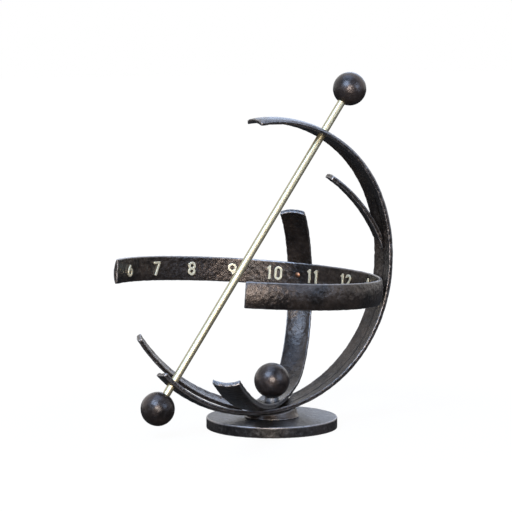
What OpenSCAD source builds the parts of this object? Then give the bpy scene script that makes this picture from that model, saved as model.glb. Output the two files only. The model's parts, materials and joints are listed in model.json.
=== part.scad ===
// Table sundial of forged flat bar on a round base, with a hollow hour ring and a ball-ended rod.
// The origin is the centre of the base's underside. X runs in the plane of the tall meridian
// band, towards its closed side, and Z is up. All sizes are in millimetres and degrees.

/* [Base] */
// Diameter of the round base plate
base_d = 132; // [120:1:160]
// Height of the base plate's top above the table
base_h = 11.6; // [11:0.1:14]
// Chamfer around the base plate's top edge
base_chamfer = 0.5; // [0.4:0.1:1.5]
// Diameter of the felt pad let into the underside
pad_d = 118; // [90:1:124]
// Thickness of the felt pad
pad_t = 2; // [1.5:0.1:3]
// How far the felt pad stands out below the plate
pad_proud = 0.4; // [0.2:0.1:1]
// Diameter of the hidden recess around the bolt head
recess_d = 24; // [22:0.5:30]

/* [Pedestal] */
// Diameter of the pedestal's flared foot
pedestal_foot_d = 56; // [52:1:64]
// Diameter of the pedestal's waist under the bands
pedestal_top_d = 49; // [46:1:51]
// Gap between the turning pedestal and the base plate
turning_gap = 0.3; // [0.2:0.1:0.6]
// Diameter of the thrust washer the frame turns on
thrust_d = 40; // [30:1:44]
// Thickness of the thrust washer
thrust_t = 1.3; // [1:0.1:2]

/* [Flat bar] */
// Thickness of the forged flat bar
bar_t = 5; // [4:0.1:6]
// Width of the meridian band
meridian_w = 35.6; // [30:0.2:42]
// Depth of the meridian band's hollow
meridian_dish = 3; // [2:0.1:3.5]
// Width of the saw cut between the lower tines
slit_w = 0.8; // [0.4:0.1:1.5]
// Depth of the upper and lower tines' hollow
tine_dish = 1.2; // [0.8:0.1:1.6]
// Width of the cross band
cross_w = 26.6; // [22:0.2:30]
// Depth of the cross band's hollow
cross_dish = 3.2; // [2:0.1:3.6]
// Depth to which the cross band is let into the meridian band
seat_depth = 0.4; // [0.2:0.1:1]

/* [Meridian band] */
// Radius of the meridian band's lowest arc, to its outer rims
meridian_low_r = 144.1; // [140:0.1:150]
// Radius of its side arc, to its outer rims
meridian_side_r = 167.2; // [158:0.1:172]
// Radius of its top arc, to its outer rims
meridian_top_r = 126.7; // [120:0.1:129]
// Height of its lowest outer rim above the table
meridian_low_z = 17; // [16.6:0.1:17.6]
// How far its lowest point lies from the base centre
meridian_offset = 18.3; // [16:0.1:20]
// Angle of the free upper tip, about the top arc's centre
upper_tip_angle = 98.2; // [92:0.1:104]
// Angle of the near lower tine's tip, about the low arc's centre
near_tip_angle = -137.2; // [-142:0.2:-136]

/* [Tines] */
// Radius of the upper tine, to its outer rims
upper_tine_r = 151.3; // [149:0.1:153]
// Angle on the side arc at which the upper tine is rooted
upper_tine_at = 2.3; // [0:0.1:5]
// Angle of the upper tine's tip
upper_tine_tip = 57.6; // [50:0.2:61]
// Roll of the upper tine, which turns its hollow towards the back
upper_tine_roll = 5; // [0:0.5:7]
// Radius of the far lower tine, to its outer rims
lower_tine_r = 181.5; // [175:0.1:200]
// Angle by which the far lower tine turns inwards from the band
lower_tine_lean = 7.5; // [6:0.1:9]
// Angle of the far lower tine's tip
lower_tine_tip = -147; // [-150:0.5:-140]
// Roll of the far lower tine, which turns its hollow towards the front
lower_tine_roll = 20; // [10:0.5:22]

/* [Cross band] */
// Direction of the cross band in plan
cross_plan = 54.3; // [54:0.1:54.7]
// Distance at which its rising rear arc passes the ring's outer face
cross_clear = 4.1; // [3:0.1:5]
// Radius of its rising rear arc, to its inner rims
cross_rear_r = 91; // [84:0.1:98]
// Angle at which the tail arc passes into the rear arc
cross_join_angle = -80.9; // [-82:0.1:-79]
// Angle of the rear arc's tip
cross_rear_tip = 59; // [54:0.2:72]
// Reach of the tail from the base centre
cross_tail_reach = 214; // [160:1:220]

/* [Hour ring] */
// Outer diameter of the hour ring
ring_d = 276.9; // [262:0.1:290]
// Height of the hour ring's strip
ring_h = 26.4; // [24:0.2:29]
// Height of the hour ring's centre above the table
ring_z = 145.6; // [140:0.1:150]
// How far the hour ring's centre lies behind the meridian band's plane
ring_back = 24.1; // [22:0.1:26]
// Depth to which the hour ring is let into the meridian band
ring_seat = 1.5; // [1:0.1:2]
// Tilt of the hour ring, down towards the meridian band
ring_tilt = 3.9; // [2:0.1:5]
// Angle of the ring's front end
ring_front_end = -114.4; // [-118:0.2:-110]
// Angle of the ring's left end
ring_left_end = 144; // [139:0.2:152]

/* [Numerals] */
// Height of the hour numerals
numeral_h = 14.6; // [12:0.2:17]
// Stroke width of the hour numerals
numeral_stroke = 2.5; // [1.6:0.1:2.8]
// Thickness of the hour numerals
numeral_t = 1.5; // [1:0.1:2.5]
// Angle of the numeral 12 on the ring
noon_angle = 14.8; // [13:0.2:17]
// Angle between two hours on the ring
hour_step = 19.2; // [18:0.1:20]

/* [Gnomon] */
// Diameter of the gnomon rod
rod_d = 7.8; // [6:0.1:8.4]
// Angle on the top arc at which the rod passes the meridian band
rod_upper_angle = 62.4; // [60:0.2:65]
// Angle on the low arc at which the rod passes the near lower tine
rod_lower_angle = -130.6; // [-133:0.2:-128]
// Distance from the upper bore to the top ball's centre
rod_upper_reach = 52.2; // [35:0.2:60]
// Distance from the lower bore to the foot ball's centre
rod_lower_reach = 28.3; // [25:0.1:32]
// Diameter of the two balls on the rod
ball_d = 34; // [30:0.5:36]
// Diameter of the middle ball
centre_ball_d = 35.8; // [32:0.2:38]
// Width of the spot face around a ball's bore
ball_flat_d = 10.4; // [9.6:0.2:12]

/* [Fastenings] */
// Diameter of the centre bolt
bolt_d = 8; // [6:0.5:8]
// Width across the flats of the bolt head
hex_af = 13; // [12:0.5:14]
// Height of the bolt head
bolt_head_h = 4.6; // [3.5:0.1:5]
// Thickness of the washer on the bolt head
bolt_washer_t = 1.6; // [1:0.1:2]
// Diameter of the washer under the middle ball
ball_washer_d = 14; // [12:0.5:16]
// Thickness of that washer
ball_washer_t = 3; // [2.4:0.1:4]
// Diameter of the ring's rivet
rivet_d = 3; // [2.4:0.1:4]
// Diameter of the rivet's domed head
rivet_head_d = 5.4; // [4.6:0.1:7]
// Angle of the rivet on the ring
rivet_angle = 41.9; // [41:0.1:43]
// Diameter of the spacer between the ring and the cross band
spacer_d = 9; // [7:0.2:12]
// Radial clearance of the bolt and the rod in their bores
bore_gap = 0.05; // [0.03:0.01:0.09]

/* [Hidden] */

$fn = 180;
bore_fn = 64;
// Length that carries a cut past the surface it opens
over = 1;

patina = [0.27, 0.24, 0.22];
steel = [0.55, 0.55, 0.57];
brass = [0.86, 0.78, 0.55];
felt = [0.12, 0.12, 0.12];
copper = [0.72, 0.42, 0.28];

// The three arcs of the meridian band meet in these directions, as a rise of 44 on a run of 117
join_run = 117 / 125;
join_rise = 44 / 125;
low_to_side = -atan2(44, 117);
side_to_top = atan2(44, 117);
// How far the side arc's two halves run past its middle
side_overlap = 5;
// Gap left for the weld at the upper tine's root
weld_gap = 0.05;
// Angle at which the band's far half gives way to the far lower tine
split_angle = -95;
// Root angles of the two tines, buried in the meridian band before the cut
upper_tine_root = 20;
lower_tine_root = -98;
tine_w = (meridian_w - slit_w) / 2;

function polar(r, a) = [r * cos(a), r * sin(a)];

low_centre = [-meridian_offset, meridian_low_z + meridian_low_r];
side_shift = (meridian_low_r - meridian_side_r) * [join_run, -join_rise];
top_shift = (meridian_side_r - meridian_top_r) * [join_run, join_rise];
side_centre = low_centre + side_shift;
top_centre = side_centre + top_shift;

// The upper tine starts inside the bar and is cut off at the bar's hollow
upper_tine_start = side_centre + polar(meridian_side_r + 0.4 * bar_t, upper_tine_at);
upper_tine_centre = upper_tine_start - polar(upper_tine_r, upper_tine_root);
// The far lower tine carries on from the end of the band's far half
lower_tine_start = low_centre + polar(meridian_low_r, split_angle);
lower_tine_centre = lower_tine_start - polar(lower_tine_r, split_angle - lower_tine_lean);

// Height of the meridian band's inner rims above the base centre
meridian_seat_z = low_centre[1] - sqrt(pow(meridian_low_r - bar_t, 2) - pow(meridian_offset, 2));
// The cross band's crown lies a little below those rims
cross_crown_z = meridian_seat_z - seat_depth;
cross_inner_z = cross_crown_z + bar_t;

ring_r = ring_d / 2;
ring_inner_r = ring_r - bar_t;
// The ring's edge by the meridian band, and its centre, so that this edge is let into the band
ring_edge_z = ring_z - ring_r * sin(ring_tilt);
ring_edge_x = side_centre[0] + sqrt(pow(meridian_side_r - bar_t, 2)
                                    - pow(ring_edge_z - side_centre[1], 2)) + ring_seat;
ring_centre = [ring_edge_x - ring_r * cos(ring_tilt), ring_back, ring_z];

// The rear arc passes the ring at this distance from the bolt, and at this height above the
// inner rims' lowest point. The tail arc's radius follows from that.
ring_along = ring_centre[0] * cos(cross_plan) + ring_centre[1] * sin(cross_plan);
pass_reach = ring_along + sqrt(pow(ring_along, 2) + pow(ring_r, 2)
                               - pow(norm([ring_centre[0], ring_centre[1]]), 2)) + cross_clear;
cross_rim_z = cross_inner_z + cross_dish;
pass_rise = ring_z - cross_rim_z - cross_rear_r;
step_run = cos(cross_join_angle);
step_rise = 1 + sin(cross_join_angle);
step_sum = pass_reach * step_run + pass_rise * step_rise;
step_square = pow(step_run, 2) + pow(step_rise, 2);
radius_step = (step_sum - sqrt(pow(step_sum, 2) - step_square
                               * (pow(pass_reach, 2) + pow(pass_rise, 2) - pow(cross_rear_r, 2))))
              / step_square;
cross_tail_r = cross_rear_r + radius_step;
// Centre of the tail arc, above the bolt, and the inner rims' point where the rear arc begins
tail_centre = [0, cross_rim_z + cross_tail_r];
cross_join = tail_centre + polar(cross_tail_r, cross_join_angle);
cross_tail_angle = -90 - asin(cross_tail_reach / cross_tail_r);

// Distance from a ball's centre to its spot face
function flat_at(ball) = sqrt(pow(ball / 2, 2) - pow(ball_flat_d / 2, 2));
ball_flat = flat_at(ball_d);
centre_ball_z = cross_inner_z + ball_washer_t + flat_at(centre_ball_d);
bolt_bottom_z = pad_t + 0.4;
bolt_washer_z = bolt_bottom_z + bolt_head_h;
bolt_top_z = centre_ball_z + 4;

// Points where the rod's axis passes the middle of the bar
rod_upper = top_centre + polar(meridian_top_r + meridian_dish - bar_t / 2, rod_upper_angle);
rod_lower = low_centre + polar(meridian_low_r + meridian_dish / 2 - bar_t / 2, rod_lower_angle);
rod_a = [rod_lower[0], -meridian_w / 4, rod_lower[1]];
rod_b = [rod_upper[0], 0, rod_upper[1]];
rod_run = rod_b - rod_a;
rod_plan = atan2(rod_run[1], rod_run[0]);
rod_rise = atan2(rod_run[2], norm([rod_run[0], rod_run[1]]));
// How deep a ball is drilled
ball_bore = 24;

// Places the children with Z along the rod and its zero at the lower bore.
module along_rod() {
    translate(rod_a)
        rotate([0, 90 - rod_rise, rod_plan])
            children();
}

// Radius of the hollow across a bar
function hollow_r(width, dish) = (pow(width, 2) / 4 + pow(dish, 2)) / (2 * dish);

// Cross-section of a hollow bar: X is the radius, and the hollow faces the arc's centre.
module dished_section(inner_r, width, dish) {
    intersection() {
        translate([inner_r + dish - hollow_r(width, dish), 0])
            difference() {
                circle(r = hollow_r(width, dish) + bar_t);
                circle(r = hollow_r(width, dish));
            }
        translate([inner_r - over, -width / 2])
            square([dish + bar_t + 2 * over, width]);
    }
}

// What lies outside the hollow of such a bar, for cutting pieces that seat in it
module outside_hollow(inner_r, width, dish) {
    difference() {
        translate([inner_r - over, -width / 2 - over])
            square([4 * bar_t, width + 2 * over]);
        translate([inner_r + dish - hollow_r(width, dish), 0])
            circle(r = hollow_r(width, dish));
    }
}

// Sweeps a section around an arc in the XZ plane; the section's Y becomes -Y.
module arc_xz(centre, from, to) {
    translate([centre[0], 0, centre[1]])
        rotate([90, 0, 0])
            rotate([0, 0, from])
                rotate_extrude(angle = to - from, $fn = 360)
                    children();
}

// Places the children at a point of the XZ plane.
module at_xz(point) {
    translate([point[0], 0, point[1]])
        children();
}

// One stretch of the meridian bar, about the origin, with its outer rims at outer_r.
module meridian_stretch(outer_r, from, to) {
    arc_xz([0, 0], from, to)
        dished_section(outer_r - bar_t, meridian_w, meridian_dish);
}

// The band at its full width. Each arc starts at a join, so that the end faces there are the
// same, and the side arc's two halves overlap.
module meridian_sweep(low_end = split_angle) {
    at_xz(low_centre) {
        meridian_stretch(meridian_low_r, low_to_side, low_end);
        at_xz(side_shift) {
            meridian_stretch(meridian_side_r, low_to_side, side_overlap);
            meridian_stretch(meridian_side_r, side_to_top, -side_overlap);
            at_xz(top_shift)
                meridian_stretch(meridian_top_r, side_to_top, upper_tip_angle);
        }
    }
}

// A bar half as wide as the meridian band, behind the slit; roll brings its far rim inwards.
module tine(centre, outer_r, from, to, roll = 0) {
    arc_xz(centre, from, to)
        translate([outer_r - bar_t, -slit_w / 2])
            rotate(-roll)
                translate([bar_t - outer_r, -tine_w / 2])
                    dished_section(outer_r - bar_t, tine_w, tine_dish);
}

// An arc of the cross band that starts with its inner rims on the origin.
module cross_stretch(inner_r, turn) {
    translate([-inner_r, 0, 0])
        rotate_extrude(angle = turn, $fn = 360)
            dished_section(inner_r, cross_w, cross_dish);
}

module cross_sweep() {
    rotate([0, 0, cross_plan])
        at_xz(cross_join)
            rotate([90, 0, 0])
                rotate([0, 0, cross_join_angle]) {
                    cross_stretch(cross_tail_r, cross_tail_angle - cross_join_angle);
                    cross_stretch(cross_rear_r, cross_rear_tip - cross_join_angle);
                }
}

// Places the children in the tilted frame of the hour ring.
module in_ring_frame() {
    translate(ring_centre)
        rotate([0, ring_tilt, 0])
            children();
}

module ring_envelope() {
    in_ring_frame()
        cylinder(r = ring_r, h = ring_h, center = true);
}

// Places the children with Z along the rivet, outwards from the ring's centre.
module along_rivet() {
    in_ring_frame()
        rotate([0, 90, rivet_angle])
            children();
}

// Length from the ring's outer face to well inside, and to beyond, the cross band behind it
spacer_reach = 10.5;
rivet_reach = 15;

module rivet_bore() {
    along_rivet()
        cylinder(d = rivet_d, h = ring_r + rivet_reach + over, $fn = bore_fn);
}

module bolt_bore(top) {
    cylinder(r = bolt_d / 2 + bore_gap, h = top, $fn = bore_fn);
}

module base_plate() {
    color(patina)
        difference() {
            union() {
                translate([0, 0, pad_proud])
                    cylinder(d = base_d, h = base_h - pad_proud - base_chamfer);
                translate([0, 0, base_h - base_chamfer])
                    cylinder(d1 = base_d, d2 = base_d - 2 * base_chamfer, h = base_chamfer);
            }
            cylinder(d = pad_d, h = pad_t);
            cylinder(d = recess_d, h = bolt_washer_z + bolt_washer_t, $fn = 96);
            bolt_bore(base_h + over);
        }
}

module base_pad() {
    color(felt)
        cylinder(d = pad_d, h = pad_t);
}

module bolt_washer() {
    color(steel)
        translate([0, 0, bolt_washer_z])
            difference() {
                cylinder(d = recess_d - 4, h = bolt_washer_t, $fn = 96);
                translate([0, 0, -over])
                    bolt_bore(bolt_washer_t + 2 * over);
            }
}

module centre_bolt() {
    color(steel)
        union() {
            translate([0, 0, bolt_bottom_z])
                cylinder(d = hex_af / cos(30), h = bolt_head_h, $fn = 6);
            translate([0, 0, bolt_bottom_z + bolt_head_h / 2])
                cylinder(d = bolt_d, h = bolt_top_z - bolt_bottom_z - bolt_head_h / 2, $fn = bore_fn);
        }
}

module thrust_washer() {
    color(brass)
        translate([0, 0, base_h])
            difference() {
                cylinder(d = thrust_d, h = thrust_t, $fn = 96);
                translate([0, 0, -over])
                    bolt_bore(thrust_t + 2 * over);
            }
}

// Flared block whose top is bedded to the underside of the meridian band.
module pedestal() {
    foot_r = pedestal_foot_d / 2;
    waist_r = pedestal_top_d / 2;
    flare_h = meridian_low_z - base_h + bar_t;
    flare_r = (pow(flare_h, 2) + pow(foot_r - waist_r, 2)) / (2 * (foot_r - waist_r));
    bottom_z = base_h + turning_gap;
    color(patina)
        difference() {
            translate([0, 0, bottom_z])
                rotate_extrude()
                    difference() {
                        square([foot_r, flare_h + bar_t]);
                        translate([waist_r + flare_r, flare_h])
                            circle(r = flare_r);
                    }
            // everything above the band's outer rims
            translate([low_centre[0], 0, low_centre[1]])
                rotate([90, 0, 0])
                    cylinder(r = meridian_low_r, h = pedestal_foot_d + 2 * over, center = true, $fn = 360);
            meridian_sweep();
            cylinder(d = thrust_d + 0.4, h = base_h + thrust_t, $fn = 96);
            bolt_bore(cross_crown_z);
        }
}

module meridian_band() {
    color(patina)
        difference() {
            meridian_sweep(low_end = near_tip_angle);
            // the far half, past the split
            at_xz(low_centre)
                rotate([0, -90 - split_angle, 0])
                    translate([-2 * meridian_low_r, -slit_w / 2, -2 * meridian_low_r])
                        cube([2 * meridian_low_r, meridian_w, 2 * meridian_low_r]);
            cross_sweep();
            ring_envelope();
            bolt_bore(centre_ball_z);
            along_rod()
                translate([0, 0, -ball_d])
                    cylinder(r = rod_d / 2 + bore_gap, h = norm(rod_run) + 2 * ball_d, $fn = bore_fn);
        }
}

module upper_tine() {
    color(patina)
        difference() {
            tine(upper_tine_centre, upper_tine_r, upper_tine_root, upper_tine_tip, -upper_tine_roll);
            at_xz(side_centre)
                arc_xz([0, 0], -side_overlap, 2 * side_to_top)
                    outside_hollow(meridian_side_r - bar_t - weld_gap, meridian_w, meridian_dish);
        }
}

module lower_tine() {
    color(patina)
        difference() {
            tine(lower_tine_centre, lower_tine_r, lower_tine_tip, lower_tine_root, lower_tine_roll);
            // everything before the end of the band's far half
            at_xz(low_centre)
                rotate([0, -90 - split_angle, 0])
                    translate([0, -meridian_w, -2 * meridian_low_r])
                        cube([2 * meridian_low_r, 2 * meridian_w, 2 * meridian_low_r]);
        }
}

module cross_band() {
    color(patina)
        difference() {
            cross_sweep();
            ring_envelope();
            rivet_bore();
            bolt_bore(centre_ball_z);
            // flat seat for the washer
            translate([0, 0, cross_inner_z])
                cylinder(d = ball_washer_d + 1, h = ball_washer_t);
        }
}

module ball_washer() {
    color(steel)
        translate([0, 0, cross_inner_z])
            difference() {
                cylinder(d = ball_washer_d, h = ball_washer_t, $fn = 96);
                translate([0, 0, -over])
                    bolt_bore(ball_washer_t + 2 * over);
            }
}

// Ball centred on the origin, spot-faced and drilled from below.
module drilled_ball(ball, bore_d, depth) {
    difference() {
        sphere(d = ball);
        translate([0, 0, -ball])
            cylinder(d = ball, h = ball - flat_at(ball));
        translate([0, 0, -flat_at(ball) - over])
            cylinder(d = bore_d, h = depth + over, $fn = bore_fn);
    }
}

// Ball tapped to screw down on the bolt, which clamps the two bands to the pedestal
module centre_ball() {
    color(patina)
        translate([0, 0, centre_ball_z])
            drilled_ball(centre_ball_d, bolt_d, flat_at(centre_ball_d) + bolt_top_z - centre_ball_z);
}

module hour_ring() {
    color(patina)
        difference() {
            in_ring_frame()
                rotate([0, 0, ring_front_end])
                    rotate_extrude(angle = ring_left_end - ring_front_end)
                        translate([ring_inner_r, -ring_h / 2])
                            square([bar_t, ring_h]);
            rivet_bore();
        }
}

// Domed head on the ring's inner face, and a shank through ring, spacer and cross band.
module ring_rivet() {
    head_h = rivet_d / 3;
    dome_r = (pow(head_h, 2) + pow(rivet_head_d / 2, 2)) / (2 * head_h);
    color(copper)
        along_rivet() {
            translate([0, 0, ring_inner_r - 0.1])
                cylinder(d = rivet_d, h = bar_t + rivet_reach, $fn = bore_fn);
            intersection() {
                translate([0, 0, ring_inner_r + dome_r - head_h])
                    sphere(r = dome_r, $fn = 96);
                translate([0, 0, ring_inner_r - 2 * head_h])
                    cylinder(d = rivet_head_d, h = 2 * head_h, $fn = 96);
            }
        }
}

// Short tube that fills the gap between the ring and the cross band.
module ring_spacer() {
    color(patina)
        difference() {
            along_rivet()
                translate([0, 0, ring_inner_r])
                    cylinder(d = spacer_d, h = bar_t + spacer_reach, $fn = bore_fn);
            ring_envelope();
            cross_sweep();
            rivet_bore();
        }
}

module gnomon_rod() {
    color(brass)
        along_rod()
            translate([0, 0, -rod_lower_reach - ball_bore + ball_flat])
                cylinder(d = rod_d, h = norm(rod_run) + rod_lower_reach + rod_upper_reach
                                        + 2 * (ball_bore - ball_flat), $fn = bore_fn);
}

module top_ball() {
    color(patina)
        along_rod()
            translate([0, 0, norm(rod_run) + rod_upper_reach])
                drilled_ball(ball_d, rod_d, ball_bore);
}

module foot_ball() {
    color(patina)
        along_rod()
            translate([0, 0, -rod_lower_reach])
                rotate([180, 0, 0])
                    drilled_ball(ball_d, rod_d, ball_bore);
}

// Straight stroke from one point to another, with square ends.
module stroke(from, to) {
    run = to - from;
    translate(from)
        rotate(atan2(run[1], run[0]))
            translate([0, -numeral_stroke / 2])
                square([norm(run), numeral_stroke]);
}

// Curved stroke about a centre, counter-clockwise between two angles less than 180 apart.
module bend(centre, r, from, to) {
    far = 3 * (r + numeral_stroke);
    translate(centre)
        intersection() {
            difference() {
                circle(r = r + numeral_stroke / 2, $fn = 72);
                circle(r = r - numeral_stroke / 2, $fn = 72);
            }
            polygon([[0, 0], polar(far, from), polar(far, (2 * from + to) / 3),
                     polar(far, (from + 2 * to) / 3), polar(far, to)]);
        }
}

// Angle by which two bends of one closed bowl lap each other
lap = 1;
// Bowl radius, to the middle of the stroke, so that two bowls share a waist
bowl = (numeral_h - numeral_stroke) / 4;
edge = numeral_stroke / 2;
round_bowl = bowl * 1.15;
// Radius of the stem of the 6 and the 9
tail_r = numeral_h * 0.55;

// Digits stand on Y = 0 and are centred on X = 0.
module digit(value) {
    top = numeral_h - edge;
    if (value == 0) {
        bend([0, top - bowl], bowl, 0, 180);
        bend([0, edge + bowl], bowl, 180, 360);
        stroke([-bowl, edge + bowl], [-bowl, top - bowl]);
        stroke([bowl, edge + bowl], [bowl, top - bowl]);
    }
    if (value == 1) {
        stroke([0, 0], [0, numeral_h]);
        stroke([-bowl * 0.8, top - bowl * 0.75], [0, top]);
    }
    if (value == 2) {
        bend([0, top - bowl], bowl, 0, 175);
        bend([0, top - bowl], bowl, -40, 1);
        stroke([-bowl, edge], polar(bowl, -40) + [0.3, top - bowl + 0.3]);
        stroke([-bowl - edge, edge], [bowl + edge, edge]);
    }
    if (value == 3) {
        bend([0, top - bowl], bowl, -90, 80);
        bend([0, top - bowl], bowl, 79, 165);
        bend([0, edge + bowl], bowl, -80, 90);
        bend([0, edge + bowl], bowl, -165, -79);
    }
    if (value == 4) {
        stroke([bowl * 0.5, 0], [bowl * 0.5, numeral_h]);
        stroke([-bowl - edge, numeral_h * 0.3], [bowl + edge, numeral_h * 0.3]);
        stroke([-bowl, numeral_h * 0.3], [bowl * 0.5, top]);
    }
    if (value == 5) {
        bend([0, edge + bowl], bowl, -80, 60);
        bend([0, edge + bowl], bowl, 59, 130);
        bend([0, edge + bowl], bowl, -150, -79);
        stroke([-bowl * 0.75, edge + bowl * 1.7], [-bowl * 0.75, numeral_h]);
        stroke([-bowl * 0.75 - edge, top], [bowl + edge / 2, top]);
    }
    if (value == 6) {
        bend([0, edge + round_bowl], round_bowl, 0, 180 - lap);
        bend([0, edge + round_bowl], round_bowl, 180 - 2 * lap, 360 + lap);
        bend([tail_r - round_bowl, edge + round_bowl], tail_r, 120 + 2 * lap, 180 + lap);
    }
    if (value == 7) {
        stroke([-bowl - edge, top], [bowl + edge, top]);
        stroke([-bowl * 0.4, 0], [bowl + edge * 0.4, top]);
    }
    if (value == 8) {
        for (y = [edge + bowl, top - bowl]) {
            bend([0, y], bowl, 0, 180 - lap / 2);
            bend([0, y], bowl, 180 - lap, 360 + lap / 2);
        }
    }
    if (value == 9)
        translate([0, numeral_h])
            rotate(180)
                digit(6);
}

// The hour's figures side by side, centred on the origin.
module figures(hour) {
    spread = hour < 10 ? 0 : (bowl + edge) * (hour == 10 ? 1.12 : hour == 11 ? 0.95 : 1.05);
    translate([0, -numeral_h / 2])
        if (hour < 10)
            digit(hour);
        else {
            translate([-spread * (hour == 11 ? 1 : 0.95), 0])
                digit(1);
            translate([spread, 0])
                digit(hour - 10);
        }
}

// One hour's figures on the ring's inner face, with their backs shaped to it.
module numeral(hour, steps_from_noon) {
    color(brass)
        in_ring_frame()
            intersection() {
                rotate([0, 0, noon_angle - steps_from_noon * hour_step])
                    translate([ring_inner_r - numeral_t, 0, 0])
                        rotate([90, 0, -90])
                            mirror([0, 0, 1])
                                linear_extrude(height = numeral_t + over)
                                    figures(hour);
                cylinder(r = ring_inner_r, h = ring_h, center = true, $fn = 1440);
            }
}

base_plate();
base_pad();
bolt_washer();
centre_bolt();
thrust_washer();
pedestal();
meridian_band();
upper_tine();
lower_tine();
cross_band();
ball_washer();
centre_ball();
hour_ring();
ring_rivet();
ring_spacer();
gnomon_rod();
top_ball();
foot_ball();
numeral(6, -6);  // numeral_06_morning
numeral(7, -5);  // numeral_07
numeral(8, -4);  // numeral_08
numeral(9, -3);  // numeral_09
numeral(10, -2);  // numeral_10
numeral(11, -1);  // numeral_11
numeral(12, 0);  // numeral_12
numeral(1, 1);  // numeral_01
numeral(2, 2);  // numeral_02
numeral(3, 3);  // numeral_03
numeral(4, 4);  // numeral_04
numeral(5, 5);  // numeral_05
numeral(6, 6);  // numeral_06_evening
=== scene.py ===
import json
import math

import bmesh
import bpy
import numpy as np
from mathutils import Matrix, Vector


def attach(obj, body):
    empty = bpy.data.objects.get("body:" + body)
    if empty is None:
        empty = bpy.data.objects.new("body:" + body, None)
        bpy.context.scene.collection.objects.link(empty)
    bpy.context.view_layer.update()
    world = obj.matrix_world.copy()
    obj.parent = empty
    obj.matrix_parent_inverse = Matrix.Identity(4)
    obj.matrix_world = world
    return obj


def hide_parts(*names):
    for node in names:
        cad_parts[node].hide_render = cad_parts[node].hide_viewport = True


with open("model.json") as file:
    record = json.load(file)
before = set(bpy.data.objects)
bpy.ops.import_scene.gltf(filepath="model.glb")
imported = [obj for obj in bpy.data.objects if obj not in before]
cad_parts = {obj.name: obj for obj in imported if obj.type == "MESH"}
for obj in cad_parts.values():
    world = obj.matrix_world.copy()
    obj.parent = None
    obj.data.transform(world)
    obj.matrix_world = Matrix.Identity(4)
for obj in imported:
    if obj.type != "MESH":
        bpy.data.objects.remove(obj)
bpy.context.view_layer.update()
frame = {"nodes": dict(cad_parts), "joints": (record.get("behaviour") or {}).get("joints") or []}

MM = 0.001

# The table top is plain and pale to the eye, and only the sundial's own soft shadow shows on it.
# What the metal mirrors of it is dark, as the shaded part of a table is.
table_mesh = bpy.data.meshes.new("table_top")
reach = 9.0
corners = [(-reach, -reach, 0), (reach, -reach, 0), (reach, reach, 0), (-reach, reach, 0)]
table_mesh.from_pydata(corners, [], [(0, 1, 2, 3)])
table = bpy.data.objects.new("table_top", table_mesh)
bpy.context.collection.objects.link(table)


def add_node(tree, kind, inputs=None, **settings):
    """One node of a tree, with its settings and the values of its inputs; a socket links."""
    node = tree.nodes.new(kind)
    for name, value in settings.items():
        setattr(node, name, value)
    for name, value in (inputs or {}).items():
        socket = node.inputs[name]
        if isinstance(value, bpy.types.NodeSocket):
            tree.links.new(value, socket)
        else:
            socket.default_value = value
    return node


def new_finish(name):
    """An empty material, its tree and its output node."""
    finish = bpy.data.materials.new(name)
    finish.use_nodes = True
    finish.node_tree.nodes.clear()
    return finish, finish.node_tree, finish.node_tree.nodes.new("ShaderNodeOutputMaterial")


table_paper, tree, output = new_finish("table_paper")
paper = add_node(tree, "ShaderNodeBsdfDiffuse", {"Color": (0.05, 0.045, 0.04, 1)})
place = add_node(tree, "ShaderNodeTexCoord")
away = add_node(tree, "ShaderNodeVectorMath", {0: place.outputs["Object"]}, operation="LENGTH")
glow = add_node(tree, "ShaderNodeMapRange", {
    "Value": away.outputs["Value"], "From Min": 0.25, "From Max": 0.7, "To Min": 0.95,
    "To Max": 1.0})
lift = add_node(tree, "ShaderNodeEmission", {"Color": (1, 1, 1, 1), "Strength": glow.outputs[0]})
ray = add_node(tree, "ShaderNodeLightPath")
seen = add_node(tree, "ShaderNodeMixShader", {0: ray.outputs["Is Camera Ray"], 2: lift.outputs[0]})
both = add_node(tree, "ShaderNodeAddShader", {0: paper.outputs[0], 1: seen.outputs[0]})
tree.links.new(both.outputs[0], output.inputs["Surface"])
table_mesh.materials.append(table_paper)

# A white backdrop hangs behind the sundial, and the room on the photographer's side is dimmer.
# Its light turns bluer with height, as it does out of doors under an open sky.
azimuth = math.radians(24.0712)
pitch = math.radians(6.1756)
look = Vector((math.sin(azimuth) * math.cos(pitch), math.cos(azimuth) * math.cos(pitch),
               -math.sin(pitch)))
room = bpy.data.worlds.new("room")
bpy.context.scene.world = room
room.use_nodes = True
tree = room.node_tree
tree.nodes.clear()
output = tree.nodes.new("ShaderNodeOutputWorld")
place = add_node(tree, "ShaderNodeTexCoord")
split = add_node(tree, "ShaderNodeSeparateXYZ", {0: place.outputs["Generated"]})
height = add_node(tree, "ShaderNodeMapRange", {"Value": split.outputs["Z"], "From Min": -0.05,
                                               "From Max": 0.9})
sky = add_node(tree, "ShaderNodeMix", {0: height.outputs[0], 6: (0.80, 0.80, 0.80, 1),
                                       7: (0.52, 0.70, 1.00, 1)}, data_type="RGBA")
across = add_node(tree, "ShaderNodeVectorMath", {0: place.outputs["Generated"], 1: look},
                  operation="DOT_PRODUCT")
behind = add_node(tree, "ShaderNodeMapRange", {"Value": across.outputs["Value"], "From Min": -0.4,
                                               "From Max": 0.6})
level = add_node(tree, "ShaderNodeMapRange", {"Value": behind.outputs[0], "To Min": 0.35,
                                              "To Max": 1.1})
soft = add_node(tree, "ShaderNodeBackground", {"Color": sky.outputs[2],
                                               "Strength": level.outputs[0]})
white = add_node(tree, "ShaderNodeBackground", {"Color": (1, 1, 1, 1), "Strength": 1.0})
ray = add_node(tree, "ShaderNodeLightPath")
gloss = add_node(tree, "ShaderNodeMath", {0: ray.outputs["Is Glossy Ray"],
                                          1: behind.outputs[0]}, operation="MULTIPLY")
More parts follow.
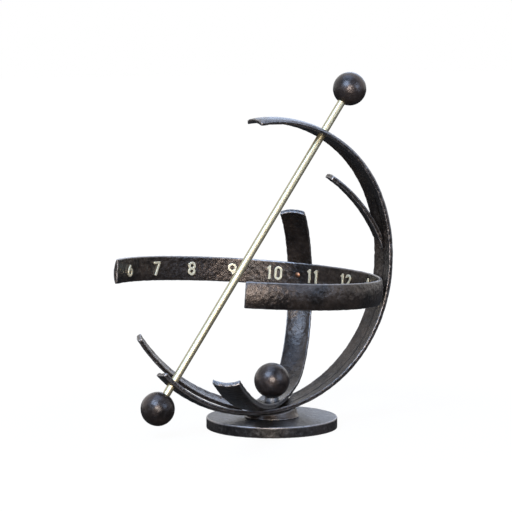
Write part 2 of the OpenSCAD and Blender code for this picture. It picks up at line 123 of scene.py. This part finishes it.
mirror = add_node(tree, "ShaderNodeMath", {0: ray.outputs["Is Camera Ray"],
                                           1: gloss.outputs[0]}, operation="MAXIMUM")
clear = add_node(tree, "ShaderNodeMath", {0: mirror.outputs[0],
                                          1: ray.outputs["Is Transmission Ray"]},
                 operation="MAXIMUM")
shown = add_node(tree, "ShaderNodeMixShader", {0: clear.outputs[0], 1: soft.outputs[0],
                                               2: white.outputs[0]})
tree.links.new(shown.outputs[0], output.inputs["Surface"])


# The photograph was lit by a warm flash beside the camera and by bluish sky light from the left,
# the right, the back and above. Each is a square soft lamp.
def lamp(name, colour, watts, width, place, aim):
    """A square soft lamp, turned from its place towards a point; sizes in metres."""
    data = bpy.data.lights.new(name, "AREA")
    data.color = colour
    data.energy = watts
    data.size = width
    thing = bpy.data.objects.new(name, data)
    bpy.context.collection.objects.link(thing)
    thing.location = place
    thing.visible_camera = False
    thing.rotation_euler = (Vector(aim) - Vector(place)).to_track_quat("-Z", "Y").to_euler()


lamp("flash", (1.0, 0.94, 0.88), 36, 0.75, (-0.92, -2.02, 0.54), (0, 0, 0.17))
lamp("back_lamp", (0.40, 0.60, 1.0), 5, 1.0, (1.05, 1.35, 1.0), (0, 0, 0.15))
lamp("left_lamp", (0.45, 0.66, 1.0), 42, 1.1, (-1.15, -0.90, 1.50), (0, 0, 0.15))
lamp("right_lamp", (0.50, 0.68, 1.0), 15, 1.0, (1.10, -1.80, 0.95), (0, 0, 0.17))
lamp("top_lamp", (0.36, 0.58, 1.0), 9, 1.2, (-0.1, 0.1, 1.9), (0, 0, 0.15))

# The camera stands where the photographer stood, about two and a half metres off and a little
# above the table. Its focal length and place are those that the photograph's outlines gave.
right = Vector((math.cos(azimuth), -math.sin(azimuth), 0))
up = right.cross(look)
photo_px = 512
focal_px = 2514.24
camera_data = bpy.data.cameras.new("photo_view")
camera_data.sensor_width = 36
camera_data.lens = focal_px * camera_data.sensor_width / photo_px
camera = bpy.data.objects.new("photo_view", camera_data)
bpy.context.collection.objects.link(camera)
middle = right * -15.8975 * MM + Vector((0, 0, 173.656 * MM))
stand = middle - look * focal_px * MM
turned = Matrix((right, up, -look)).transposed().to_4x4()
camera.matrix_world = Matrix.Translation(stand) @ turned
bpy.context.scene.camera = camera
bpy.context.scene.view_settings.view_transform = "Standard"


# The base is a thick disc of mild steel. Its face was dressed smooth and its edge left from the
# hammer. The whole was browned by fire and oil, as all the bars above it were, then waxed.
def browned_steel(name, dark, warm, low_rough, relief=0.6, mottle=1.0, wax=0.4):
    """Fire-browned, waxed steel: mottled scale, hammer texture and rims rubbed bright, their pale
    colour partly a painted highlight.

    Noise scales are cells in a metre; rim and line are attributes that the pieces carry."""
    finish, tree, output = new_finish(name)
    place = add_node(tree, "ShaderNodeTexCoord").outputs["Object"]
    cloud = add_node(tree, "ShaderNodeTexNoise", {"Vector": place, "Scale": 42, "Detail": 5,
                                                  "Roughness": 0.62}).outputs[0]
    scale = add_node(tree, "ShaderNodeTexNoise", {"Vector": place, "Scale": 240, "Detail": 6,
                                                  "Roughness": 0.72}).outputs[0]
    peen = add_node(tree, "ShaderNodeTexVoronoi", {"Vector": place, "Scale": 260},
                    feature="SMOOTH_F1").outputs["Distance"]
    ground = add_node(tree, "ShaderNodeMapRange", {"Value": cloud, "From Min": 0.36,
                                                   "From Max": 0.66}).outputs[0]
    body = add_node(tree, "ShaderNodeMix", {0: ground, 6: (*dark, 1), 7: (*warm, 1)},
                    data_type="RGBA").outputs[2]
    spots = add_node(tree, "ShaderNodeMapRange", {"Value": scale, "From Min": 0.52,
                                                  "From Max": 0.72, "To Max": 0.6 * mottle})
    ash = tuple(0.7 * c + 0.11 for c in warm)
    mottled = add_node(tree, "ShaderNodeMix", {0: spots.outputs[0], 6: body, 7: (*ash, 1)},
                       data_type="RGBA").outputs[2]
    # The rims are mixed towards a pale steel colour, broken up by noise. This is partly wear rubbed
    # through the browning and partly a painted highlight standing in for light on the edges.
    rim = add_node(tree, "ShaderNodeAttribute", attribute_name="rim").outputs["Fac"]
    chafe = add_node(tree, "ShaderNodeMapRange", {"Value": scale, "From Min": 0.15,
                                                  "From Max": 0.5}).outputs[0]
    worn_and_highlit = add_node(tree, "ShaderNodeMath", {0: rim, 1: chafe}, operation="MULTIPLY").outputs[0]
    rubbed_and_highlight_steel = (0.36, 0.33, 0.32, 1)
    rubbed_and_highlit = add_node(tree, "ShaderNodeMix", {0: worn_and_highlit, 6: mottled, 7: rubbed_and_highlight_steel},
                      data_type="RGBA").outputs[2]
    # The chased line is coloured near black: painted shade in its hollow.
    line = add_node(tree, "ShaderNodeAttribute", attribute_name="line").outputs["Fac"]
    painted_groove_shade = (0.008, 0.007, 0.007, 1)
    groove_shaded = add_node(tree, "ShaderNodeMix", {0: line, 6: rubbed_and_highlit, 7: painted_groove_shade},
                     data_type="RGBA").outputs[2]
    rough = add_node(tree, "ShaderNodeMapRange", {"Value": scale, "From Min": 0.3,
                                                  "From Max": 0.7, "To Min": low_rough,
                                                  "To Max": low_rough + 0.16}).outputs[0]
    grit = add_node(tree, "ShaderNodeMath", {0: scale, 1: 1.6, 2: peen},
                    operation="MULTIPLY_ADD").outputs[0]
    worn_flat = add_node(tree, "ShaderNodeMapRange", {"Value": rim, "To Min": relief,
                                                      "To Max": 0.2 * relief}).outputs[0]
    bump = add_node(tree, "ShaderNodeBump", {"Strength": worn_flat, "Distance": 0.6 * MM,
                                             "Height": grit}).outputs[0]
    metal = add_node(tree, "ShaderNodeBsdfPrincipled", {
        "Base Color": groove_shaded, "Roughness": rough, "Metallic": 0.8, "Specular IOR Level": 0.5,
        "Coat Weight": wax, "Coat Roughness": 0.2, "Normal": bump, "Coat Normal": bump})
    tree.links.new(metal.outputs[0], output.inputs["Surface"])
    return finish


def hammering():
    """The smith's work as a tree: rounds a rough solid, dents it and marks its rims."""
    tree = bpy.data.node_groups.new("hammering", "GeometryNodeTree")
    put = tree.interface.new_socket
    put("Geometry", in_out="INPUT", socket_type="NodeSocketGeometry")
    put("Geometry", in_out="OUTPUT", socket_type="NodeSocketGeometry")
    for name, kind in (("Solid", "Object"), ("Rounding", "Int"), ("Blow size", "Float"),
                       ("Blow depth", "Float"), ("Waviness", "Float"), ("Rim width", "Float"),
                       ("Seed", "Int"), ("Metal", "Material")):
        put(name, in_out="INPUT", socket_type=f"NodeSocket{kind}")
    given = tree.nodes.new("NodeGroupInput").outputs
    output = tree.nodes.new("NodeGroupOutput")

    where = add_node(tree, "GeometryNodeInputPosition").outputs[0]
    softer = add_node(tree, "GeometryNodeBlurAttribute", {"Iterations": given["Rounding"]},
                      data_type="FLOAT_VECTOR")
    tree.links.new(where, next(s for s in softer.inputs if s.name == "Value" and s.enabled))
    rounded = add_node(tree, "GeometryNodeSetPosition", {
        "Geometry": given["Geometry"],
        "Position": next(s for s in softer.outputs if s.enabled)})

    shift = add_node(tree, "ShaderNodeCombineXYZ", {0: given["Seed"], 1: given["Seed"]})
    moved = add_node(tree, "ShaderNodeVectorMath", {0: where, 1: shift.outputs[0]}, operation="ADD")
    blow_count = add_node(tree, "ShaderNodeMath", {0: 1.0, 1: given["Blow size"]},
                          operation="DIVIDE")
    blows = add_node(tree, "ShaderNodeTexVoronoi", {"Vector": moved.outputs[0],
                                                    "Scale": blow_count.outputs[0]})
    bowl = add_node(tree, "ShaderNodeMapRange", {
        "Value": blows.outputs["Distance"], "From Min": 0.05, "From Max": 0.75, "To Min": 1.0,
        "To Max": 0.0}, interpolation_type="SMOOTHSTEP")
    dent = add_node(tree, "ShaderNodeMath", {0: bowl.outputs[0], 1: given["Blow depth"]},
                    operation="MULTIPLY")
    sway = add_node(tree, "ShaderNodeTexNoise", {"Vector": moved.outputs[0], "Scale": 38.0,
                                                 "Detail": 2.0})
    wave = add_node(tree, "ShaderNodeMath", {0: sway.outputs[0], 1: given["Waviness"]},
                    operation="MULTIPLY")
    total = add_node(tree, "ShaderNodeMath", {0: dent.outputs[0], 1: wave.outputs[0]},
                     operation="ADD")
    inwards = add_node(tree, "ShaderNodeMath", {0: total.outputs[0], 1: -1.0},
                       operation="MULTIPLY")
    normal = add_node(tree, "GeometryNodeInputNormal").outputs[0]
    offset = add_node(tree, "ShaderNodeVectorMath", {0: normal, "Scale": inwards.outputs[0]},
                      operation="SCALE")
    dented = add_node(tree, "GeometryNodeSetPosition", {"Geometry": rounded.outputs[0],
                                                        "Offset": offset.outputs[0]})

    solid = add_node(tree, "GeometryNodeObjectInfo", {"Object": given["Solid"]})
    angle = add_node(tree, "GeometryNodeInputMeshEdgeAngle")
    arris_angle = math.radians(38)
    sharp = add_node(tree, "FunctionNodeCompare", {0: angle.outputs[0], 1: arris_angle},
                     operation="GREATER_THAN")
    arrises = add_node(tree, "GeometryNodeSeparateGeometry", {
        "Geometry": solid.outputs["Geometry"], "Selection": sharp.outputs[0]}, domain="EDGE")
    near = add_node(tree, "GeometryNodeProximity", {0: arrises.outputs[0]},
                    target_element="EDGES")
    fade = add_node(tree, "ShaderNodeMapRange", {
        "Value": near.outputs["Distance"], "From Min": 0.3 * MM, "From Max": given["Rim width"],
        "To Min": 1.0, "To Max": 0.0}, interpolation_type="SMOOTHSTEP")
    marked = add_node(tree, "GeometryNodeStoreNamedAttribute", {
        "Geometry": dented.outputs[0], "Name": "rim"}, data_type="FLOAT", domain="POINT")
    tree.links.new(fade.outputs[0],
                   next(s for s in marked.inputs if s.name == "Value" and s.enabled))
    smooth = add_node(tree, "GeometryNodeSetShadeSmooth", {0: marked.outputs[0]})
    real = add_node(tree, "GeometryNodeRealizeInstances", {0: smooth.outputs[0]})
    coated = add_node(tree, "GeometryNodeSetMaterial", {"Geometry": real.outputs[0],
                                                        "Material": given["Metal"]})
    tree.links.new(coated.outputs[0], output.inputs[0])
    return tree


hammer = hammering()


def set_inputs(modifier, values):
    """Gives a tree's named inputs their values, by their identifiers."""
    for item in modifier.node_group.interface.items_tree:
        if item.in_out == "INPUT" and item.name in values:
            modifier[item.identifier] = values[item.name]


def plain_mesh(thing):
    """Turns what the modifiers make of a thing into its own mesh, and takes them off."""
    thing.data.update()
    bpy.context.view_layer.update()
    evaluated = thing.evaluated_get(bpy.context.evaluated_depsgraph_get())
    made = bpy.data.meshes.new_from_object(evaluated)
    made.name = thing.name
    thing.modifiers.clear()
    thing.data = made


def blank(name, node):
    """A rough blank: a copy of the node's solid as one closed mesh."""
    same_place = 0.002 * MM
    mesh = frame["nodes"][node].data.copy()
    mesh.name = name
    work = bmesh.new()
    work.from_mesh(mesh)
    bmesh.ops.remove_doubles(work, verts=work.verts, dist=same_place)
    work.to_mesh(mesh)
    work.free()
    mesh.materials.clear()
    thing = bpy.data.objects.new(name, mesh)
    bpy.context.collection.objects.link(thing)
    return thing


def forge(thing, grain, rounding, blow, depth, waviness, rim, seed, metal):
    """Works a blank with the hammer; sizes in mm, and grain is the spacing of its mesh."""
    solid = thing.copy()
    solid.data = thing.data.copy()
    bpy.context.collection.objects.link(solid)
    remesh = thing.modifiers.new("even grain", "REMESH")
    remesh.mode = "VOXEL"
    remesh.voxel_size = grain * MM
    work = thing.modifiers.new("hammering", "NODES")
    work.node_group = hammer
    set_inputs(work, {"Solid": solid, "Rounding": rounding, "Blow size": blow * MM,
                      "Blow depth": depth * MM, "Waviness": waviness * MM,
                      "Rim width": rim * MM, "Seed": seed, "Metal": metal})
    plain_mesh(thing)
    bpy.data.objects.remove(solid)
    return thing


base_brown = browned_steel("base_brown", (0.022, 0.0195, 0.0185), (0.066, 0.056, 0.052),
                           low_rough=0.36, relief=0.4, wax=0.22)
base = forge(blank("base_disc", "base_plate"), grain=0.72, rounding=1, blow=5, depth=0.14,
             waviness=0.1, rim=1.1, seed=3, metal=base_brown)
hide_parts("base_plate")
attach(base, "base")


# A disc of black wool felt is glued under the base. It keeps the bolt's head and the steel off
# the table.
def felt_cloth():
    """Matted black wool."""
    finish, tree, output = new_finish("felt_wool")
    place = add_node(tree, "ShaderNodeTexCoord").outputs["Object"]
    hair = add_node(tree, "ShaderNodeTexNoise", {"Vector": place, "Scale": 900, "Detail": 4})
    tone = add_node(tree, "ShaderNodeMix", {0: hair.outputs[0], 6: (0.006, 0.006, 0.007, 1),
                                            7: (0.03, 0.03, 0.032, 1)}, data_type="RGBA")
    bump = add_node(tree, "ShaderNodeBump", {"Strength": 0.8, "Distance": 0.4 * MM,
                                             "Height": hair.outputs[0]})
    wool = add_node(tree, "ShaderNodeBsdfPrincipled", {
        "Base Color": tone.outputs[2], "Roughness": 0.95, "Sheen Weight": 0.4,
        "Normal": bump.outputs[0]})
    tree.links.new(wool.outputs[0], output.inputs["Surface"])
    return finish


def refinish(node, finish):
    """Gives a solid that stays as it is its finish."""
    thing = frame["nodes"][node]
    if not thing.material_slots:
        thing.data.materials.append(None)
    for slot in thing.material_slots:
        slot.material = finish


refinish("base_pad", felt_cloth())


# The bolt with its washer comes up through the base, the pedestal and both bands, and the tapped
# middle ball draws them together over a second washer. They are stock zinc-plated steel.
def turned_metal(name, low, high, rough, marks_per_metre=500, along=(0, 0, 1), streak=4.0,
                 shine=1.0, marks_deep=0.25, edge=(1, 1, 1), gloss=0.5):
    """Bright turned or drawn metal, its fine tool marks drawn out along an axis."""
    finish, tree, output = new_finish(name)
    place = add_node(tree, "ShaderNodeTexCoord").outputs["Object"]
    turn = Vector(along).to_track_quat("Z", "Y").to_euler()
    stretch = add_node(tree, "ShaderNodeMapping", {"Vector": place, "Rotation": turn,
                                                   "Scale": (1, 1, streak)},
                       vector_type="TEXTURE")
    marks = add_node(tree, "ShaderNodeTexNoise", {"Vector": stretch.outputs[0],
                                                  "Scale": marks_per_metre, "Detail": 3})
    tone = add_node(tree, "ShaderNodeMix", {0: marks.outputs[0], 6: (*low, 1), 7: (*high, 1)},
                    data_type="RGBA")
    dull = add_node(tree, "ShaderNodeMapRange", {"Value": marks.outputs[0], "To Min": rough,
                                                 "To Max": rough + 0.15})
    bump = add_node(tree, "ShaderNodeBump", {"Strength": marks_deep, "Distance": 0.1 * MM,
                                             "Height": marks.outputs[0]})
    metal = add_node(tree, "ShaderNodeBsdfPrincipled", {
        "Base Color": tone.outputs[2], "Metallic": shine, "Roughness": dull.outputs[0],
        "Specular Tint": (*edge, 1), "Specular IOR Level": gloss, "Normal": bump.outputs[0]})
    tree.links.new(metal.outputs[0], output.inputs["Surface"])
    return finish


zinc = turned_metal("zinc_plate", (0.20, 0.20, 0.21), (0.36, 0.36, 0.37), rough=0.45)
for node in ("bolt_washer", "centre_bolt", "ball_washer"):
    refinish(node, zinc)

# The frame turns on a thin washer of yellow brass, turned on a lathe, which lies loose between the
# pedestal and the base.
yellow_brass = turned_metal("washer_brass", (0.60, 0.45, 0.20), (0.80, 0.64, 0.33), rough=0.3)
refinish("thrust_washer", yellow_brass)

# The pedestal is a short flared block of forged steel, filed hollow on top to bed the meridian
# band. The centre bolt holds it, and it is browned with the bars above it.
patina = browned_steel("forge_brown", (0.021, 0.0155, 0.013), (0.085, 0.062, 0.048),
                       low_rough=0.27, mottle=0.8)
pedestal = forge(blank("flared_pedestal", "pedestal"), grain=0.6, rounding=4, blow=6, depth=0.22,
                 waviness=0.3, rim=1.4, seed=5, metal=patina)
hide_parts("pedestal")
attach(pedestal, "frame")

# The meridian band is a flat bar forged hollow and bent round in one sweep. Its lower end is
# sawn along the middle; the near half is the near tine. A chased line runs on from the saw cut.
meridian = forge(blank("forged_meridian", "meridian_band"), grain=0.78, rounding=6, blow=7,
                 depth=0.3, waviness=0.45, rim=2.2, seed=7, metal=patina)
band_middle = Vector((-10, 0, 172)) * MM
line_starts_deg, line_ends_deg = -99, 24
line_width = 0.8 * MM
line_depth = 0.7 * MM
points = np.empty(len(meridian.data.vertices) * 3, np.float32)
meridian.data.vertices.foreach_get("co", points)
points = points.reshape(-1, 3)
normals = np.empty(len(points) * 3, np.float32)
meridian.data.vertices.foreach_get("normal", normals)
normals = normals.reshape(-1, 3)
inwards = np.array(band_middle)[None, :] - points
degrees_round = np.degrees(np.arctan2(-inwards[:, 2], -inwards[:, 0]))
hollow_side = (normals * inwards).sum(1) > 0
chased = hollow_side & (degrees_round > line_starts_deg) & (degrees_round < line_ends_deg)
line = np.exp(-(points[:, 1] / line_width) ** 2) * chased
points -= normals * (line * line_depth)[:, None]
meridian.data.vertices.foreach_set("co", points.ravel())
# The same mask is stored as the line attribute, which the finish paints near black as painted shade
# in the groove.
meridian.data.attributes.new("line", "FLOAT", "POINT").data.foreach_set(
    "value", line.astype(np.float32))
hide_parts("meridian_band")
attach(meridian, "frame")

# The upper tine is welded inside the band and stands away from it to a free tip; the far lower
# tine is welded on where the saw cut ends. Both are half the bar's width.
for name, node, seed in (("forged_upper_tine", "upper_tine", 11),
                         ("forged_lower_tine", "lower_tine", 13)):
    tine = forge(blank(name, node), grain=0.6, rounding=7, blow=5.5, depth=0.28, waviness=0.4,
                 rim=2.1, seed=seed, metal=patina)
    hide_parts(node)
    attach(tine, "frame")

# The cross band is a narrower hollow bar, let into the meridian band and bolted down under the
# middle ball. Its short arm rises at the front, and its long one passes up behind the ring.
cross = forge(blank("forged_cross_band", "cross_band"), grain=0.72, rounding=6, blow=6, depth=0.3,
              waviness=0.4, rim=2.0, seed=17, metal=patina)
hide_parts("cross_band")
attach(cross, "frame")

# The three balls are forged steel, planished with light blows. One caps the bolt, and two are
# pressed on the rod's ends.
ball_brown = browned_steel("ball_brown", (0.026, 0.020, 0.018), (0.095, 0.070, 0.060),
                           low_rough=0.30, relief=0.22, mottle=0.6, wax=0.3)
for name, node, body, seed in (("planished_centre_ball", "centre_ball", "frame", 19),
                               ("planished_top_ball", "top_ball", "gnomon", 23),
                               ("planished_foot_ball", "foot_ball", "gnomon", 29)):
    ball = forge(blank(name, node), grain=0.5, rounding=3, blow=4, depth=0.1, waviness=0.12,
                 rim=1.0, seed=seed, metal=ball_brown)
    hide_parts(node)
    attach(ball, body)


# The hour ring is a strip of bar with a crowned outer face, rolled round a little past two
# thirds of a circle. A spacer behind it, riveted through, holds it to the cross band.
def rolling():
    """A strip of bar, crowned outside, rolled to an open ring and set at its tilt."""
    tree = bpy.data.node_groups.new("rolling", "GeometryNodeTree")
    put = tree.interface.new_socket
    put("Geometry", in_out="OUTPUT", socket_type="NodeSocketGeometry")
    for name, kind in (("Outer radius", "Float"), ("Thickness", "Float"), ("Height", "Float"),
                       ("Crown", "Float"), ("Corner", "Float"), ("Front end", "Float"),
                       ("Sweep", "Float"), ("Centre", "Vector"), ("Tilt", "Vector"),
                       ("Metal", "Material")):
        put(name, in_out="INPUT", socket_type=f"NodeSocket{kind}")
    given = tree.nodes.new("NodeGroupInput").outputs
    output = tree.nodes.new("NodeGroupOutput")
    half = add_node(tree, "ShaderNodeMath", {0: given["Thickness"], 1: 0.5},
                    operation="MULTIPLY").outputs[0]
    middle = add_node(tree, "ShaderNodeMath", {0: given["Outer radius"], 1: half},
                      operation="SUBTRACT").outputs[0]
    arc = add_node(tree, "GeometryNodeCurveArc", {
        "Resolution": 420, "Radius": middle, "Start Angle": given["Front end"],
        "Sweep Angle": given["Sweep"]}).outputs["Curve"]
    bar = add_node(tree, "GeometryNodeCurvePrimitiveQuadrilateral", {
        "Width": given["Thickness"], "Height": given["Height"]}).outputs[0]
    filed = add_node(tree, "GeometryNodeFilletCurve", {"Curve": bar, "Radius": given["Corner"],
                                                       "Count": 4}, mode="POLY").outputs[0]
    even = add_node(tree, "GeometryNodeResampleCurve", {"Curve": filed, "Count": 96}).outputs[0]
    where = add_node(tree, "GeometryNodeInputPosition").outputs[0]
    part = add_node(tree, "ShaderNodeSeparateXYZ", {0: where}).outputs
    outside = add_node(tree, "ShaderNodeMapRange", {
        "Value": part["X"], "From Min": 0.0, "From Max": half}).outputs[0]
    share = add_node(tree, "ShaderNodeMath", {0: part["Y"], 1: given["Height"]},
                     operation="DIVIDE").outputs[0]
    square = add_node(tree, "ShaderNodeMath", {0: share, 1: share}, operation="MULTIPLY").outputs[0]
    fall = add_node(tree, "ShaderNodeMath", {0: square, 1: given["Crown"]},
                    operation="MULTIPLY").outputs[0]
    drop = add_node(tree, "ShaderNodeMath", {0: fall, 1: outside}, operation="MULTIPLY").outputs[0]
    full_at_edge = -4.0
    back = add_node(tree, "ShaderNodeMath", {0: drop, 1: full_at_edge},
                    operation="MULTIPLY").outputs[0]
    inwards = add_node(tree, "ShaderNodeCombineXYZ", {0: back}).outputs[0]
    crowned = add_node(tree, "GeometryNodeSetPosition", {"Geometry": even,
                                                         "Offset": inwards}).outputs[0]
    strip = add_node(tree, "GeometryNodeCurveToMesh", {
        "Curve": arc, "Profile Curve": crowned, "Fill Caps": True}).outputs[0]
    tilted = add_node(tree, "GeometryNodeTransform", {
        "Geometry": strip, "Translation": given["Centre"],
        "Rotation": given["Tilt"]}).outputs[0]
    real = add_node(tree, "GeometryNodeRealizeInstances", {0: tilted}).outputs[0]
    coated = add_node(tree, "GeometryNodeSetMaterial", {"Geometry": real,
                                                        "Material": given["Metal"]})
    tree.links.new(coated.outputs[0], output.inputs[0])
    return tree


ring_brown = browned_steel("ring_brown", (0.023, 0.0175, 0.015), (0.090, 0.064, 0.049),
                           low_rough=0.26, mottle=0.6)
ring = bpy.data.objects.new("rolled_hour_ring", bpy.data.meshes.new("rolled_hour_ring"))
bpy.context.collection.objects.link(ring)
roll = ring.modifiers.new("rolling", "NODES")
roll.node_group = rolling()
set_inputs(roll, {"Outer radius": 138.45 * MM, "Thickness": 5 * MM, "Height": 26.4 * MM,
                  "Crown": 2.3 * MM, "Corner": 0.4 * MM, "Front end": math.radians(-114.4),
                  "Sweep": math.radians(258.4), "Centre": (-0.01775, 0.0241, 0.1456),
                  "Tilt": (0, math.radians(3.9), 0), "Metal": ring_brown})
plain_mesh(ring)
ring = forge(ring, grain=0.75, rounding=4, blow=6, depth=0.2, waviness=0.3, rim=1.6, seed=31,
             metal=ring_brown)
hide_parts("hour_ring")
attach(ring, "frame")
refinish("ring_spacer", patina)

# The rivet is soft copper. It passes through ring, spacer and cross band, and its head was set
# with a few light blows on the ring's inner face.
soft_copper = turned_metal("rivet_copper", (0.26, 0.11, 0.06), (0.46, 0.24, 0.14), rough=0.35)
refinish("ring_rivet", soft_copper)

# The hour numerals are cast in brass and polished on their faces. Their backs are dressed to the
# curve of the ring, and they are brazed to its inner face.
cast_brass = turned_metal("numeral_brass", (0.80, 0.69, 0.45), (0.96, 0.87, 0.66), rough=0.28,
                          marks_per_metre=300, streak=1.0, shine=0.55)
for node in [n for n in sorted(frame["nodes"]) if n.startswith("numeral_")]:
    figure = forge(blank("cast_" + node, node), grain=0.24, rounding=2, blow=2, depth=0.02,
                   waviness=0.05, rim=0.4, seed=37, metal=cast_brass)
    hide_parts(node)
    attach(figure, "frame")


# The rod that casts the shadow is drawn brass, polished along its length and a little tarnished.
# It passes through two close bores of the meridian band, and the outer balls are pressed on it.
def drawing():
    """A round bar drawn from one point to another."""
    tree = bpy.data.node_groups.new("drawing", "GeometryNodeTree")
    put = tree.interface.new_socket
    put("Geometry", in_out="OUTPUT", socket_type="NodeSocketGeometry")
    for name, kind in (("Start", "Vector"), ("End", "Vector"), ("Radius", "Float"),
                       ("Metal", "Material")):
        put(name, in_out="INPUT", socket_type=f"NodeSocket{kind}")
    given = tree.nodes.new("NodeGroupInput").outputs
    output = tree.nodes.new("NodeGroupOutput")
    path = add_node(tree, "GeometryNodeCurvePrimitiveLine", {"Start": given["Start"],
                                                             "End": given["End"]}).outputs[0]
    steps = add_node(tree, "GeometryNodeResampleCurve", {"Curve": path, "Count": 120}).outputs[0]
    round_bar = add_node(tree, "GeometryNodeCurvePrimitiveCircle", {
        "Resolution": 64, "Radius": given["Radius"]}).outputs["Curve"]
    rod = add_node(tree, "GeometryNodeCurveToMesh", {
        "Curve": steps, "Profile Curve": round_bar, "Fill Caps": True}).outputs[0]
    smooth = add_node(tree, "GeometryNodeSetShadeSmooth", {0: rod}).outputs[0]
    real = add_node(tree, "GeometryNodeRealizeInstances", {0: smooth}).outputs[0]
    coated = add_node(tree, "GeometryNodeSetMaterial", {"Geometry": real,
                                                        "Material": given["Metal"]})
    tree.links.new(coated.outputs[0], output.inputs[0])
    return tree


hinge = next(j for j in frame["joints"] if j["name"] == "rod_turn")
axis = Vector(hinge["axis"]).normalized()
low_bore = Vector(hinge["pos_m"])
stations = [(v.co - low_bore).dot(axis) for v in frame["nodes"]["gnomon_rod"].data.vertices]
rod_radius = 3.9 * MM
rod_brass = turned_metal("drawn_brass", (0.54, 0.45, 0.27), (0.72, 0.63, 0.42), rough=0.30,
                         marks_per_metre=260, along=axis, streak=40.0, shine=0.85, gloss=0.1,
                         marks_deep=0.0, edge=(0.05, 0.04, 0.02))
rod = bpy.data.objects.new("drawn_rod", bpy.data.meshes.new("drawn_rod"))
bpy.context.collection.objects.link(rod)
draw = rod.modifiers.new("drawing", "NODES")
draw.node_group = drawing()
set_inputs(draw, {"Start": low_bore + axis * min(stations),
                  "End": low_bore + axis * max(stations),
                  "Radius": rod_radius, "Metal": rod_brass})
plain_mesh(rod)
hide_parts("gnomon_rod")
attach(rod, "gnomon")
